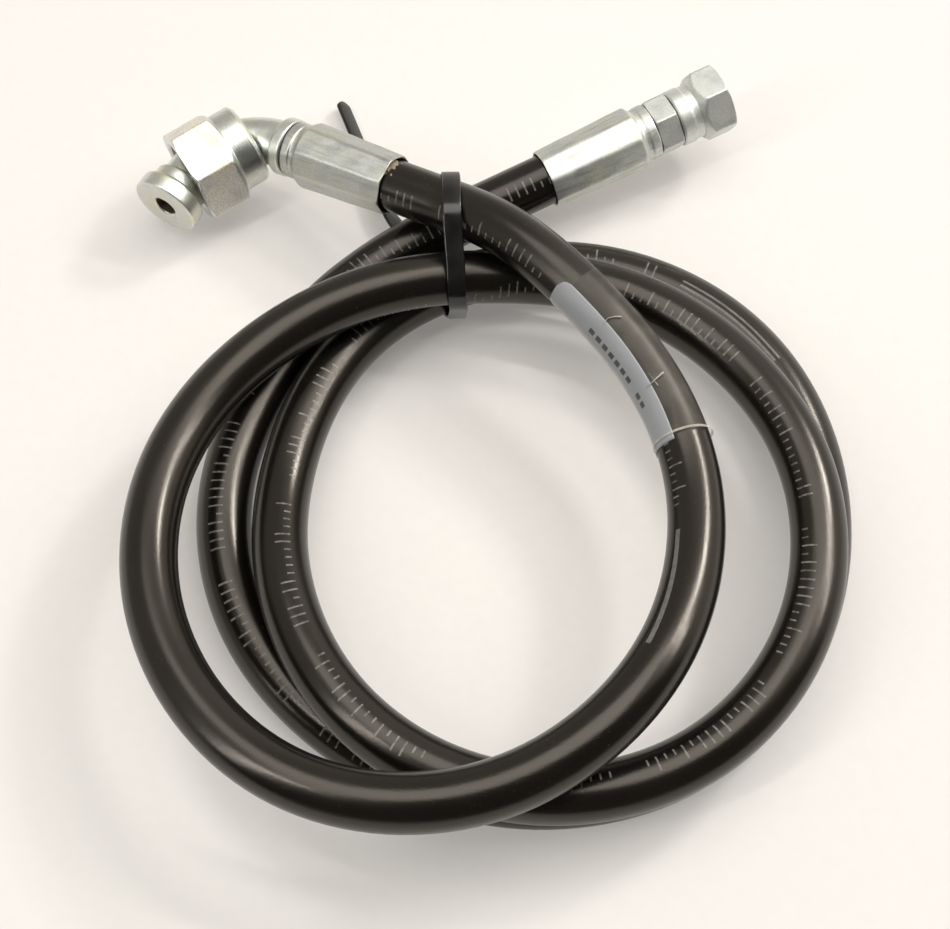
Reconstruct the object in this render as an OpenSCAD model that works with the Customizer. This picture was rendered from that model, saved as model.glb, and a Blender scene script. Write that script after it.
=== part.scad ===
// Hydraulic hose assembly: a rubber hose with one wire braid, coiled three times and tied, with a
// bent flat-face fitting on end A and a straight cone-seat fitting on end B. Millimetres, +Z up.
// The origin is on the table under the middle of the whole assembly.

/* [Hose] */
// Outside diameter of the rubber cover
hose_od = 13.8; // [13.6:0.1:14]
// Outside diameter of the wire braid
braid_od = 10.2; // [10:0.1:10.4]
// Outside diameter of the inner tube
tube_od = 8.8; // [8.6:0.1:9.2]
// Bore of the inner tube
hose_bore = 6.3; // [6.2:0.1:6.4]

/* [Crimped shells] */
// Length of each shell
shell_len = 32; // [30:0.5:34]
// Size over the crimped flats at the front
crimp_front = 17.0; // [16.6:0.1:17.4]
// Size over the crimped flats at the hose end
crimp_rear = 15.4; // [15.2:0.1:15.8]
// Number of crimped flats
crimp_flats = 8; // [8:2:10]
// Diameter of the plain ring at the front
shell_ring_d = 15.2; // [15:0.1:15.6]
// How deep the hose goes into each shell
hose_depth = 26; // [24:0.5:27]

/* [Elbow and sealing sleeve, end A] */
// Outside diameter of the bent tube
elbow_od = 12.7; // [12.5:0.1:12.8]
// Bore of the bent tube
elbow_bore = 8; // [6:0.5:9]
// Radius of the bend at the middle of the tube
elbow_r = 18.5; // [18:0.5:19]
// Straight tube between the bend and the nipple's collar
elbow_lead = 0.4; // [0.2:0.1:1]
// Length from the corner of the bend to the sealing face
sleeve_reach = 30.9; // [30:0.1:32]
// Diameter of the sealing face
sleeve_d = 18.6; // [18.4:0.1:18.8]
// Thickness of the sealing flange
flange_t = 5; // [4.5:0.5:5.5]
// Diameter of the sleeve behind the flange
sleeve_neck_d = 15.2; // [14.8:0.1:15.4]
// Bore through the sealing face
face_bore = 6; // [5:0.5:6.5]

/* [Swivel nut, end A] */
// Size over the flats
nut_a_af = 23.8; // [23.4:0.1:24]
// Length of the hexagon
nut_a_hex_len = 12.3; // [12:0.1:13]
// Whole length of the nut
nut_a_len = 19.5; // [19:0.1:20]
// Diameter of the round collar behind the hexagon
nut_a_collar_d = 22.2; // [22:0.1:22.8]
// Minor diameter of the thread
nut_a_thread_d = 19.1; // [19.0:0.1:19.2]
// Diameter of the hole in the collar's end
nut_a_hole_d = 17.4; // [17.3:0.1:17.6]
// Angle of the nut's axis from the shell's axis, in the plane of the bend
nut_a_cock = 62.5; // [62:0.5:63]

/* [Stem and swivel nut, end B] */
// Size over the flats of the stem's hexagon
stem_af = 14.3; // [14:0.1:14.6]
// Length of the stem's hexagon
stem_hex_len = 6.2; // [6:0.1:6.6]
// Size over the flats of the nut
nut_b_af = 17.5; // [17.2:0.1:17.8]
// Length of the nut's hexagon
nut_b_hex_len = 7.2; // [7:0.1:7.6]
// Whole length of the nut
nut_b_len = 14.8; // [14.4:0.1:15.2]
// Minor diameter of the thread
nut_b_thread_d = 13.3; // [13.2:0.1:13.4]

/* [Cable tie] */
// Width of the band
tie_w = 4.8; // [4.6:0.1:5]
// Thickness of the band
tie_t = 1.1; // [1:0.1:1.2]

/* [Label and sleeve] */
// Thickness of the printed label
label_t = 0.2; // [0.2:0.05:0.25]
// Thickness of the clear sleeve
sleeve_t = 0.35; // [0.3:0.05:0.45]

/* [Hidden] */

// Middle of the coil, seen from above
coil_centre = [3.5, -14.6];
// Depth by which the hose is flattened where it lies on the table
contact_flat = hose_od / 10;
// Least gap that the hose has to keep to itself
least_gap = 0.4;

// End A: where the hose leaves the shell, from the coil's centre, and the shell's direction
mouth_a = [-26.3, 79.4, 25];
heading_a = 150;
slope_a = -11;
// End B, the same
mouth_b = [14, 88, 15];
heading_b = 25.5;
slope_b = 6;

// The coil, clockwise from the +Y side, every 30 degrees: how far the hose's middle is from the
// coil's centre, one row for each turn ...
REACH = [[62.5, 46, 43, 46, 54, 68.5, 85, 94, 90.5, 79.5, 66, 56],
         [54.5, 59.5, 67, 76.5, 84.5, 87, 81.5, 70.5, 59, 52.5, 52, 56.5],
         [63, 72, 79, 82.5, 85, 84.5, 79.5, 74, 71, 68, 66.5, 71.5]];
// ... and how high it lies
HEIGHT = [[32.5, 34, 31, 29.5, 32, 36.5, 35.5, 32, 28.5, 25, 23.5, 24.5],
          [20, 18.5, 19, 21, 21.5, 21.5, 21.5, 21, 17.5, 12, 11, 9],
          [8, 7, 7.5, 7.5, 7, 7, 7, 7, 7.5, 7, 7, 7]];
step_angle = 30;
steps_per_turn = 12;
rings_per_step = 2;
cover_sides = 16;
layer_sides = 8;

function direction(heading, slope) =
    [cos(slope) * cos(heading), cos(slope) * sin(heading), sin(slope)];
function unit(v) = v / norm(v);

dir_a = direction(heading_a, slope_a);
dir_b = direction(heading_b, slope_b);
coil_base = [coil_centre.x, coil_centre.y, 0];
place_a = coil_base + mouth_a;
place_b = coil_base + mouth_b;

function coil_knot(turn, k) = let (a = step_angle * k, r = REACH[turn][k])
    coil_base + [r * sin(a), r * cos(a), HEIGHT[turn][k] - contact_flat];
// Knots of the route: inside shell A, one diameter out of it, round the coil, and into shell B
KNOTS = concat([place_a + hose_depth * dir_a, place_a - hose_od * dir_a],
               [for (turn = [0 : len(REACH) - 1]) for (k = [0 : steps_per_turn - 1]) coil_knot(turn, k)],
               [place_b - hose_od * dir_b, place_b + hose_depth * dir_b]);
last_knot = len(KNOTS) - 1;

// Direction of the route at a knot: along the fitting's axis at the ends, and elsewhere the
// parabola through the knot and its two neighbours
function span(i) = norm(KNOTS[i + 1] - KNOTS[i]);
function chord(i) = (KNOTS[i + 1] - KNOTS[i]) / span(i);
function tangent(i) = i < 2 ? -dir_a : i > last_knot - 2 ? dir_b :
    (chord(i) * span(i - 1) + chord(i - 1) * span(i)) / (span(i - 1) + span(i));
function on_route(i, t) =
    (2 * t^3 - 3 * t^2 + 1) * KNOTS[i] + (t^3 - 2 * t^2 + t) * span(i) * tangent(i)
    + (3 * t^2 - 2 * t^3) * KNOTS[i + 1] + (t^3 - t^2) * span(i) * tangent(i + 1);
function heading_on_route(i, t) =
    unit((6 * t^2 - 6 * t) * (KNOTS[i] - KNOTS[i + 1]) + (3 * t^2 - 4 * t + 1) * span(i) * tangent(i)
         + (3 * t^2 - 2 * t) * span(i) * tangent(i + 1));

// One ring: its middle, and its level and upward directions, both square to the route
function ring_at(i, t) = let (h = heading_on_route(i, t), side = unit(cross(h, [0, 0, 1])))
    [on_route(i, t), side, cross(side, h)];
RINGS = concat([ring_at(0, 0)],
               [for (i = [1 : last_knot - 2]) for (k = [0 : rings_per_step - 1])
                   ring_at(i, k / rings_per_step)],
               [ring_at(last_knot - 1, 0), ring_at(last_knot - 1, 1)]);

// Corners of a ring with a given radius, none of them lower than the table
function on_table(p) = [p.x, p.y, max(p.z, 0)];
function corner(ring, r, sides, j) = let (a = (j + 0.5) * 360 / sides)
    on_table(ring[0] + r * (cos(a) * ring[1] + sin(a) * ring[2]));
function corners(rings, r, sides) =
    [for (ring = rings) for (j = [0 : sides - 1]) corner(ring, r, sides, j)];
// Triangles of a four-sided face
function two(a, b, c, d) = [[a, b, c], [a, c, d]];

// A layer of the hose: a tube between two radii along the rings. The outside has as many sides
// as the inside, or a whole multiple of them.
module layer(rings, r_out, n_out, r_in, n_in) {
    last = len(rings) - 1;
    inside = (last + 1) * n_out;
    per = n_out / n_in;
    function out(i, j) = i * n_out + j % n_out;
    function in(i, j) = inside + i * n_in + j % n_in;
    walls = [for (i = [0 : last - 1]) each concat(
        [for (j = [0 : n_out - 1]) each two(out(i, j), out(i, j + 1), out(i + 1, j + 1), out(i + 1, j))],
        [for (j = [0 : n_in - 1]) each two(in(i, j), in(i + 1, j), in(i + 1, j + 1), in(i, j + 1))])];
    start = [for (j = [0 : n_in - 1]) each concat(
        [[in(0, j), in(0, j + 1), out(0, (j + 1) * per)]],
        [for (m = [0 : per - 1]) [in(0, j), out(0, j * per + m + 1), out(0, j * per + m)]])];
    end = [for (j = [0 : n_in - 1]) each concat(
        [[in(last, j), out(last, (j + 1) * per), in(last, j + 1)]],
        [for (m = [0 : per - 1]) [in(last, j), out(last, j * per + m), out(last, j * per + m + 1)]])];
    polyhedron(concat(corners(rings, r_out, n_out), corners(rings, r_in, n_in)),
               concat(walls, start, end));
}

// Least distance from the hose's middle line to itself, between rings further apart along the
// hose than half a turn, in fine steps
fine_steps = 6;
half_turn = fine_steps * steps_per_turn / 2;
FINE = concat([for (i = [1 : last_knot - 2]) for (k = [0 : fine_steps - 1])
                  on_route(i, k / fine_steps)],
              [KNOTS[last_knot - 1]]);
least_spacing = min([for (i = [0 : len(FINE) - 1]) for (j = [i + half_turn : 1 : len(FINE) - 1])
                        norm(FINE[i] - FINE[j])]);
function length_to(i) = i == 0 ? 0 : length_to(i - 1) + norm(FINE[i] - FINE[i - 1]);
route_length = 2 * hose_od + length_to(len(FINE) - 1);
echo(least_gap_of_hose_to_itself = least_spacing - hose_od, hose_length = route_length);
assert(least_spacing - hose_od > least_gap, "the hose is too near to itself");

module hose_cover() {
    color("#141416") layer(RINGS, hose_od / 2, cover_sides, braid_od / 2, layer_sides);
}

module wire_braid() {
    color("#8c8a84") layer(RINGS, braid_od / 2, layer_sides, tube_od / 2, layer_sides);
}

// The bore's flats, not its corners, lie at the bore's radius
module inner_tube() {
    color("#1d1d1f")
        layer(RINGS, tube_od / 2, layer_sides, hose_bore / 2 / cos(180 / layer_sides), layer_sides);
}

// Puts what is drawn along +Z on a fitting's axis, with Z = 0 at the mouth of its shell
module at_end(place, heading, slope) {
    translate(place) rotate([0, 90 - slope, heading]) children();
}

// A hexagonal prism of a given size over its flats, from z = 0 up
module hexagon(af, h) {
    cylinder(d = af / cos(30), h = h, $fn = 6);
}

round_fn = 96;
// Small chamfer on turned edges
edge_break = 0.3;
// How far the turned blank stays inside the sharp corners between the flats
crimp_corner = 0.15;
crimp_end = 26.5;
groove_start = 28;
groove_end = 29.2;
groove_d = shell_ring_d - 0.5;
mouth_flare = 0.4;
mouth_flare_len = 2.5;
lip_start = 27.4;
neck_r = 5.2;
lip_gap = 0.1;

// A crimped shell: a turned blank with a bell mouth, a groove and a plain ring, squeezed to flats
// that taper towards the hose
module shell() {
    blank_front = crimp_front / 2 / cos(180 / crimp_flats) - crimp_corner;
    blank_rear = crimp_rear / 2 / cos(180 / crimp_flats) - crimp_corner;
    taper = atan((crimp_front - crimp_rear) / 2 / crimp_end);
    cut = 6;
    difference() {
        rotate_extrude($fn = round_fn)
            polygon([[hose_od / 2 + mouth_flare, 0], [blank_rear, 0], [blank_front, crimp_end],
                     [groove_d / 2, groove_start], [groove_d / 2, groove_end],
                     [shell_ring_d / 2, groove_end + 0.4],
                     [shell_ring_d / 2, shell_len - edge_break],
                     [shell_ring_d / 2 - edge_break, shell_len],
                     [neck_r + lip_gap, shell_len], [neck_r + lip_gap, lip_start],
                     [hose_od / 2, lip_start], [hose_od / 2, mouth_flare_len]]);
        for (k = [0 : crimp_flats - 1])
            rotate(k * 360 / crimp_flats)
                translate([crimp_rear / 2, 0, 0])
                    rotate([0, taper, 0])
                        translate([0, -cut, -1])
                            cube([cut, 2 * cut, groove_start + 1]);
    }
}

tail_start = 4;
tail_root_r = hose_bore / 2 - 0.25;
barb_r = hose_bore / 2 + 0.15;
barb_pitch = 3.4;
barbs = 6;
tail_bore_r = 2;

// Outline of a barbed tail, from its tip towards the fitting
function barb_points() = [for (k = [0 : barbs - 1]) let (z = tail_start + k * barb_pitch)
    each [[tail_root_r, z], [barb_r, z + barb_pitch - 0.4]]];

collar_start = shell_len + 0.3;
collar_len = 4;
bend_start = collar_start + collar_len;
collar_end = bend_start - elbow_lead;
collar_r = 7.9;
socket_depth = 2;
corner_z = bend_start + elbow_r;

// Barbed tail with the neck that the shell grips and the collar that the bent tube is brazed into
module nipple_a() {
    color("#c9c9c6") at_a()
        rotate_extrude($fn = round_fn)
            polygon(concat(
                [[tail_bore_r, tail_start]], barb_points(),
                [[tail_root_r, tail_start + barbs * barb_pitch], [tail_root_r, hose_depth + 0.2],
                 [neck_r, hose_depth + 0.2], [neck_r, collar_start], [collar_r - edge_break, collar_start],
                 [collar_r, collar_start + edge_break]],
                [for (a = [0 : 15 : 90]) [collar_r - 1 + cos(a), collar_end - 1 + sin(a)]],
                [[elbow_od / 2, collar_end], [elbow_od / 2, collar_end - socket_depth],
                 [tail_bore_r, collar_end - socket_depth]]));
}

module at_a() {
    at_end(place_a, heading_a, slope_a) children();
}

module at_b() {
    at_end(place_b, heading_b, slope_b) children();
}

module shell_a() {
    color("#b9b9b6") at_a() rotate(crimp_turn_a) shell();
}

module shell_b() {
    color("#b9b9b6") at_b() rotate(crimp_turn_b) shell();
}

// Turns of the crimped flats and of the hexagons about their own axes
crimp_turn_a = 34;
crimp_turn_b = 16.5;
nut_a_turn = 7;
nut_b_turn = 22.5;
stem_turn = 22.5;

neck_len = 4;
sleeve_start = sleeve_reach - flange_t - neck_len;
tube_end = sleeve_start + socket_depth;

// Bent tube: brazed into the collar at one end and into the sleeve at the other
module elbow_tube() {
    color("#d2d2cf") at_a() {
        translate([0, 0, collar_end - socket_depth])
            pipe(elbow_od / 2, elbow_bore / 2, bend_start - collar_end + socket_depth);
        translate([0, elbow_r, bend_start])
            rotate([90, 0, -90])
                rotate_extrude(angle = 90, $fn = round_fn)
                    translate([elbow_r, 0]) difference() {
                        circle(d = elbow_od, $fn = 64);
                        circle(d = elbow_bore, $fn = 64);
                    }
        translate([0, elbow_r, corner_z])
            rotate([-90, 0, 0])
                pipe(elbow_od / 2, elbow_bore / 2, tube_end - elbow_r);
    }
}

module pipe(r_out, r_in, h) {
    rotate_extrude($fn = round_fn) translate([r_in, 0]) square([r_out - r_in, h]);
}

// Sealing sleeve: the flange with its flat face, and the neck that the tube is brazed into
module face_sleeve() {
    edge = 1.2;
    chamfer = 0.5;
    color("#cfcfcb") at_a()
        translate([0, 0, corner_z])
            rotate([-90, 0, 0])
                rotate_extrude($fn = round_fn)
                    polygon(concat(
                        [[face_bore / 2, tube_end], [elbow_od / 2, tube_end],
                         [elbow_od / 2, sleeve_start]],
                        [for (a = [-90 : 15 : 0])
                            [sleeve_neck_d / 2 - 1 + cos(a), sleeve_start + 1 + sin(a)]],
                        [[sleeve_neck_d / 2, sleeve_reach - flange_t]],
                        [for (a = [-90 : 15 : 0])
                            [sleeve_d / 2 - edge + edge * cos(a),
                             sleeve_reach - flange_t + edge + edge * sin(a)]],
                        [[sleeve_d / 2, sleeve_reach - edge_break], [sleeve_d / 2 - edge_break, sleeve_reach],
                         [face_bore / 2 + chamfer, sleeve_reach],
                         [face_bore / 2, sleeve_reach - chamfer]]));
}

// Where the nut's front face lies, from the corner of the bend
nut_a_front = [0, 20, -0.1];
land_len = 1.4;
thread_a_len = 9;
relief_a_d = 20.2;
hex_chamfer = 1.2;

// Swivel nut A, drawn with its front face at z = 0 and its body below
module nut_a_body() {
    corner_r = nut_a_af / 2 / cos(30);
    intersection() {
        difference() {
            union() {
                translate([0, 0, -nut_a_hex_len]) hexagon(nut_a_af, nut_a_hex_len);
                translate([0, 0, -nut_a_len])
                    cylinder(d = nut_a_collar_d, h = nut_a_len - 1, $fn = round_fn);
            }
            rotate_extrude($fn = round_fn)
                polygon([[0, -nut_a_len - 1], [nut_a_hole_d / 2, -nut_a_len - 1],
                         [nut_a_hole_d / 2, land_len - nut_a_len],
                         [relief_a_d / 2, land_len - nut_a_len + 0.5],
                         [relief_a_d / 2, -thread_a_len - 0.3], [nut_a_thread_d / 2, -thread_a_len],
                         [nut_a_thread_d / 2, -0.7], [nut_a_thread_d / 2 + 0.9, 0.2],
                         [nut_a_thread_d / 2 + 0.9, 1], [0, 1]]);
        }
        rotate_extrude($fn = round_fn)
            polygon([[0, 0], [corner_r - hex_chamfer, 0], [corner_r, -hex_chamfer * 0.6],
                     [corner_r, hex_chamfer - nut_a_hex_len],
                     [corner_r - hex_chamfer, 0.3 - nut_a_hex_len],
                     [nut_a_collar_d / 2, -nut_a_hex_len - 0.5],
                     [nut_a_collar_d / 2, 1 - nut_a_len], [nut_a_collar_d / 2 - 1, -nut_a_len],
                     [0, -nut_a_len]]);
    }
}

module swivel_nut_a() {
    color("#d8d8d5") at_a()
        translate([0, 0, corner_z] + nut_a_front)
            rotate([-nut_a_cock, 0, 0]) rotate(nut_a_turn) nut_a_body();
}

stem_hex_start = shell_len + 0.2;
stem_hex_end = stem_hex_start + stem_hex_len;
nut_b_start = stem_hex_end + 0.4;
nut_b_end = nut_b_start + nut_b_len;
stem_waist_r = 5;
nut_b_hole_r = stem_waist_r + 0.15;
nut_b_land = 4.2;
nose_start = nut_b_start + nut_b_land + 0.15;
nose_end = nose_start + 3.6;
nose_r = nut_b_thread_d / 2 - 0.25;
seat_angle = 37;
stem_bore_r = 2.5;

// Stem B: barbed tail, neck, hexagon, waist that the nut turns on, and the nose with a cone seat
module stem_b() {
    seat_r = nose_r - 0.8;
    seat_depth = (seat_r - stem_bore_r) / tan(seat_angle);
    corner_r = stem_af / 2 / cos(30);
    color("#c6c8c6") at_b() rotate(stem_turn) union() {
        rotate_extrude($fn = round_fn)
            polygon(concat(
                [[tail_bore_r, tail_start]], barb_points(),
                [[tail_root_r, tail_start + barbs * barb_pitch], [tail_root_r, hose_depth + 0.2],
                 [neck_r, hose_depth + 0.2], [neck_r, stem_hex_end + 0.1],
                 [stem_waist_r, stem_hex_end + 0.3], [stem_waist_r, nose_start],
                 [nose_r - 0.4, nose_start], [nose_r, nose_start + 0.5], [nose_r, nose_end - 0.4],
                 [nose_r - 0.4, nose_end], [seat_r, nose_end],
                 [stem_bore_r, nose_end - seat_depth], [stem_bore_r, nut_b_start],
                 [tail_bore_r, nut_b_start - 1]]));
        difference() {
            intersection() {
                translate([0, 0, stem_hex_start]) hexagon(stem_af, stem_hex_len);
                rotate_extrude($fn = round_fn)
                    polygon([[0, stem_hex_start], [corner_r - 0.6, stem_hex_start],
                             [corner_r, stem_hex_start + 0.4], [corner_r, stem_hex_end - 0.4],
                             [corner_r - 0.6, stem_hex_end], [0, stem_hex_end]]);
            }
            translate([0, 0, stem_hex_start - 1]) cylinder(r = neck_r, h = stem_hex_len + 2, $fn = round_fn);
        }
    }
}

nut_b_neck_d = 15.6;
nut_b_waist_d = 15.0;
nut_b_relief_r = nut_b_thread_d / 2 + 0.25;
thread_b_start = nut_b_end - 6.4;

// Swivel nut B: stepped round neck and a hexagon with well rounded corners
module swivel_nut_b() {
    corner_r = nut_b_af / 2 / cos(30);
    hex_start = nut_b_end - nut_b_hex_len;
    color("#d0d2d0") at_b() rotate(nut_b_turn) intersection() {
        difference() {
            union() {
                translate([0, 0, hex_start - 1.5]) hexagon(nut_b_af, nut_b_hex_len + 1.5);
                translate([0, 0, nut_b_start])
                    cylinder(d = nut_b_neck_d, h = nut_b_len - 1, $fn = round_fn);
            }
            rotate_extrude($fn = round_fn)
                polygon([[0, nut_b_start - 1], [nut_b_hole_r, nut_b_start - 1],
                         [nut_b_hole_r, nut_b_start + nut_b_land],
                         [nut_b_relief_r, nut_b_start + nut_b_land],
                         [nut_b_relief_r, thread_b_start - 0.3],
                         [nut_b_thread_d / 2, thread_b_start],
                         [nut_b_thread_d / 2, nut_b_end - 0.7],
                         [nut_b_thread_d / 2 + 0.8, nut_b_end + 0.1],
                         [nut_b_thread_d / 2 + 0.8, nut_b_end + 1], [0, nut_b_end + 1]]);
        }
        rotate_extrude($fn = round_fn)
            polygon([[0, nut_b_start], [nut_b_neck_d / 2 - 0.4, nut_b_start],
                     [nut_b_neck_d / 2, nut_b_start + 0.4], [nut_b_neck_d / 2, nut_b_start + 3.6],
                     [nut_b_waist_d / 2, nut_b_start + 4], [nut_b_waist_d / 2, hex_start - 1.5],
                     [nut_b_neck_d / 2, hex_start - 1.5], [corner_r, hex_start + 0.8],
                     [corner_r, nut_b_end - 0.7], [corner_r - 1, nut_b_end], [0, nut_b_end]]);
    }
}

// The tie goes round the strands that cross it on the +Y side
tie_x = coil_centre.x - 10.4;
tie_y = coil_centre.y;
tied = [for (p = FINE) if (abs(p.x - tie_x) < 1.2 * tie_w && p.y > tie_y) p];
bundle_reach = 8 * hose_od;
// The tie's head, and the tail from it to its tip, from the tie's foot on the coil's middle line
head_at = [-5.2, 68, 0];
head_size = [7.6, 6.4, 3.6];
TAIL = [[-3.5, 70, 0.8], [-17.5, 82, 2.4], [-24, 97, 2.2], [-32.8, 121.8, 1.2]];

// Outline of the tied strands, no lower than the band's own thickness above the table
module strand_outline(grow) {
    intersection() {
        hull() for (p = tied) translate([p.z, p.y - tie_y]) circle(d = hose_od + 2 * grow, $fn = 32);
        translate([tie_t - grow, 0]) square(bundle_reach);
    }
}

// A flat strip between two points
module strip(from, to) {
    along = to - from;
    hull() for (p = [from, to])
        translate(p) rotate(atan2(along.y, along.x)) cylinder(d = tie_w * 0.6, h = tie_t, $fn = 12);
}

module cable_tie() {
    color("#1b1b1c") translate([tie_x, tie_y, 0]) {
        rotate([0, -90, 0])
            linear_extrude(tie_w, center = true) difference() {
                strand_outline(tie_t);
                strand_outline(0);
            }
        translate(head_at) rotate(20) translate([-head_size.x / 2, -head_size.y / 2, 0]) cube(head_size);
        for (i = [0 : len(TAIL) - 2]) strip(TAIL[i], TAIL[i + 1]);
    }
}

// First and last ring of the hose under the label and under the sleeve, and the sides that the
// label covers
label_rings = [4, 9];
sleeve_rings = [5, 9];
label_sides = [-1, 3];

// A patch on the outside of the hose between two radii
module patch(rings, r_in, r_out, sides, first, last) {
    n = last - first + 1;
    rows = len(rings);
    function low(i, j) = i * n + j;
    function high(i, j) = rows * n + i * n + j;
    pts = concat([for (ring = rings) for (j = [first : last]) corner(ring, r_in, sides, j)],
                 [for (ring = rings) for (j = [first : last]) corner(ring, r_out, sides, j)]);
    faces = concat(
        [for (i = [0 : rows - 2]) for (j = [0 : n - 2])
            each concat(two(high(i, j), high(i, j + 1), high(i + 1, j + 1), high(i + 1, j)),
                        two(low(i, j), low(i + 1, j), low(i + 1, j + 1), low(i, j + 1)))],
        [for (i = [0 : rows - 2])
            each concat(two(low(i, 0), high(i, 0), high(i + 1, 0), low(i + 1, 0)),
                        two(low(i, n - 1), low(i + 1, n - 1), high(i + 1, n - 1), high(i, n - 1)))],
        [for (j = [0 : n - 2])
            each concat(two(low(0, j), low(0, j + 1), high(0, j + 1), high(0, j)),
                        two(low(rows - 1, j), high(rows - 1, j), high(rows - 1, j + 1),
                            low(rows - 1, j + 1)))]);
    polyhedron(pts, faces);
}

function rings_between(ends) = [for (i = [ends[0] : ends[1]]) RINGS[i]];

module marker_label() {
    color("#8d95a3")
        patch(rings_between(label_rings), hose_od / 2, hose_od / 2 + label_t, cover_sides,
              label_sides[0], label_sides[1]);
}

module clear_sleeve() {
    color("#e8e8e8", 0.4)
        layer(rings_between(sleeve_rings), hose_od / 2 + label_t + sleeve_t, cover_sides,
              hose_od / 2 + label_t, cover_sides);
}

hose_cover();
wire_braid();
inner_tube();
shell_a();
nipple_a();
elbow_tube();
face_sleeve();
swivel_nut_a();
shell_b();
stem_b();
swivel_nut_b();
cable_tie();
marker_label();
clear_sleeve();
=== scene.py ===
"""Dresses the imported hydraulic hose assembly: rubber hose, zinc plated fittings, tie and marker."""

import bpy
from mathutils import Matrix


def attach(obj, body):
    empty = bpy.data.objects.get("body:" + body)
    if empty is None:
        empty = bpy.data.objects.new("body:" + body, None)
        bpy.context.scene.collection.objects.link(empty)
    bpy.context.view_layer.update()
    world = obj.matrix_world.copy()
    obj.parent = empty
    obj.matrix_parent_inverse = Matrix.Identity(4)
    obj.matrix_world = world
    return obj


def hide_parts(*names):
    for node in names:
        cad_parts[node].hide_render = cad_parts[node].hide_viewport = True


bl_info = {
    "name": "Hydraulic hose assembly",
    "version": (1, 0, 0),
    "blender": (4, 5, 0),
    "location": "View3D > Sidebar > Hose",
    "description": "Dresses a coiled hydraulic hose with its fittings, cable tie and marker sleeve",
    "category": "Object",
}

import math
from functools import partial

import bpy
import numpy as np
from mathutils import Matrix, Vector
from mathutils.geometry import convex_hull_2d

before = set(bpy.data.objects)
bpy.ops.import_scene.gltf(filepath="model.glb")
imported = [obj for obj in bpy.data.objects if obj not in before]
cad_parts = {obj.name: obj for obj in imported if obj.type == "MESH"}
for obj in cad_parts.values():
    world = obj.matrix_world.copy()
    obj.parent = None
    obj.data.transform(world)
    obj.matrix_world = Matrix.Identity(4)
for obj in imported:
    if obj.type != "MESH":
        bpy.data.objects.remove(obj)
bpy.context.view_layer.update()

MM = 0.001
UP = np.array((0.0, 0.0, 1.0))

# Where the hose lies, in millimetres: the middle of the coil, and each fitting's mouth, heading
# and slope, as in the part's source
COIL_CENTRE = np.array((3.5, -14.6, 0.0))
HOSE_D = 13.8
HOSE_R = HOSE_D / 2
HOSE_DEPTH = 26.0
MOUTH_A, HEADING_A, SLOPE_A = np.array((-26.3, 79.4, 25.0)), 150.0, -11.0
MOUTH_B, HEADING_B, SLOPE_B = np.array((14.0, 88.0, 15.0)), 25.5, 6.0
# The coil, clockwise from the +Y side, every 30 degrees: distance from its middle, and height
REACH = ((62.5, 46, 43, 46, 54, 68.5, 85, 94, 90.5, 79.5, 66, 56),
         (54.5, 59.5, 67, 76.5, 84.5, 87, 81.5, 70.5, 59, 52.5, 52, 56.5),
         (63, 72, 79, 82.5, 85, 84.5, 79.5, 74, 71, 68, 66.5, 71.5))
HEIGHT = ((32.5, 34, 31, 29.5, 32, 36.5, 35.5, 32, 28.5, 25, 23.5, 24.5),
          (20, 18.5, 19, 21, 21.5, 21.5, 21.5, 21, 17.5, 12, 11, 9),
          (8, 7, 7.5, 7.5, 7, 7, 7, 7, 7.5, 7, 7, 7))
STEP_ANGLE = 30
ROUTE_PITCH = 3.0


# ---------------------------------------------------------------- shapes

def unit(v):
    """A vector, or each row of an array of them, made one long."""
    return v / np.linalg.norm(v, axis=-1, keepdims=True)


def direction(heading, slope):
    """The way that a heading from +X and a slope above the table point, both in degrees."""
    turn, rise = math.radians(heading), math.radians(slope)
    return np.array((math.cos(rise) * math.cos(turn), math.cos(rise) * math.sin(turn), math.sin(rise)))


def fitting_axes(mouth, heading, slope):
    """Matrix from a fitting's own millimetres, +Z along its axis from the shell's mouth, to the frame."""
    z, y = direction(heading, slope), direction(heading + 90, 0)
    columns = np.stack((np.cross(y, z), y, z, (COIL_CENTRE + mouth) * MM), 1)
    return Matrix(columns.tolist() + [[0, 0, 0, 1]])


AXES_A = fitting_axes(MOUTH_A, HEADING_A, SLOPE_A)
AXES_B = fitting_axes(MOUTH_B, HEADING_B, SLOPE_B)


def spline(knots, start, end, pitch):
    """Points about a pitch apart on the smooth curve through the knots, with given end directions."""
    gaps = np.linalg.norm(np.diff(knots, axis=0), axis=1)
    weights = np.eye(len(knots))
    values = np.zeros((len(knots), 3))
    values[0], values[-1] = start, end
    for i in range(1, len(knots) - 1):
        before, after = gaps[i - 1], gaps[i]
        weights[i, i - 1:i + 2] = after, 2 * (before + after), before
        values[i] = 3 * (after / before * (knots[i] - knots[i - 1])
                         + before / after * (knots[i + 1] - knots[i]))
    slopes = np.linalg.solve(weights, values)
    points = []
    for i, gap in enumerate(gaps):
        steps = max(2, round(gap / pitch))
        for t in np.arange(steps) / steps:
            points.append((2 * t**3 - 3 * t**2 + 1) * knots[i] + (t**3 - 2 * t**2 + t) * gap * slopes[i]
                          + (3 * t**2 - 2 * t**3) * knots[i + 1] + (t**3 - t**2) * gap * slopes[i + 1])
    return np.array(points + [knots[-1]])


def spokes(side, up, angles):
    """Directions out from each ring of a line, at angles in degrees from its side towards its up:
    the same angles for every ring, or a row of them for each."""
    a = np.radians(np.atleast_2d(angles))[:, :, None]
    return np.cos(a) * side[:, None] + np.sin(a) * up[:, None]


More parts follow.
